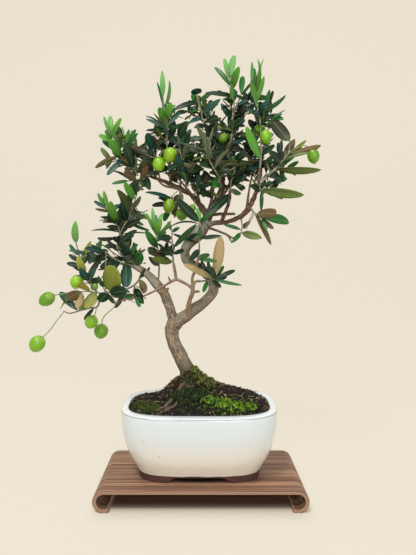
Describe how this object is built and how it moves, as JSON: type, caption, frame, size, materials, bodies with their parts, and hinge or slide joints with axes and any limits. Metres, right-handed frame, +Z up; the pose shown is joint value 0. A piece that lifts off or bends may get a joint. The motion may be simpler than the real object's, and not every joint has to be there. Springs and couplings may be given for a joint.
{
  "type": "olive bonsai",
  "caption": "Olive bonsai with a bent trunk, leafy shoots and green fruit, planted with soil and moss in a glazed oval pot on a bent plywood stand.",
  "frame": {"origin": "middle of the bounding box in plan, on the surface that the stand rests on", "axes": "+Z up the tree; the front of the pot looks along -Y; the stand's long side lies along X"},
  "size_m": [0.3578, 0.1624, 0.584],
  "materials": {
    "walnut_plywood": "satin",
    "glazed_clay": "gloss",
    "plastic_mesh": "matte",
    "clip_wire": "satin",
    "soil": "matte",
    "moss": "matte",
    "bark": "matte",
    "leaf": "satin",
    "olive_fruit": "satin"
  },
  "bodies": {
    "root": {"display_stand": "walnut_plywood", "drain_screen_left": "plastic_mesh", "drain_screen_right": "plastic_mesh", "moss_front": "moss", "moss_left": "moss", "moss_right": "moss", "moss_trunk": "moss", "olive_behind_leaf": "olive_fruit", "olive_behind_left": "olive_fruit", "olive_far_left": "olive_fruit", "olive_far_right": "olive_fruit", "olive_hanging": "olive_fruit", "olive_low_left": "olive_fruit", "olive_pad_low": "olive_fruit", "olive_pad_middle": "olive_fruit", "olive_pale": "olive_fruit", "olive_right_behind": "olive_fruit", "olive_right_top": "olive_fruit", "olive_small_left": "olive_fruit", "olive_thin_branch": "olive_fruit", "olive_top_middle": "olive_fruit", "olive_upper_left": "olive_fruit", "olive_upper_left_low": "olive_fruit", "pot": "glazed_clay", "screen_clip_left": "clip_wire", "screen_clip_right": "clip_wire", "shoot_back_left": "leaf", "shoot_back_left_high": "leaf", "shoot_back_right": "leaf", "shoot_back_top": "leaf", "shoot_back_top_left": "leaf", "shoot_back_upper_left": "leaf", "shoot_blue_pair": "leaf", "shoot_centre": "leaf", "shoot_centre_left": "leaf", "shoot_centre_up": "leaf", "shoot_cut_stub": "leaf", "shoot_front_top": "leaf", "shoot_inner_right": "leaf", "shoot_left_hanging": "leaf", "shoot_left_low": "leaf", "shoot_left_mid": "leaf", "shoot_left_outer": "leaf", "shoot_left_side": "leaf", "shoot_left_tip": "leaf", "shoot_left_upper": "leaf", "shoot_light_cluster": "leaf", "shoot_mid_left": "leaf", "shoot_right_low": "leaf", "shoot_right_side": "leaf", "shoot_right_top": "leaf", "shoot_right_under": "leaf", "shoot_right_upper": "leaf", "shoot_tall": "leaf", "shoot_top_middle": "leaf", "shoot_top_tall": "leaf", "shoot_upper_left": "leaf", "shoot_whorl": "leaf", "soil": "soil", "trunk": "bark"}
  },
  "joints": []
}
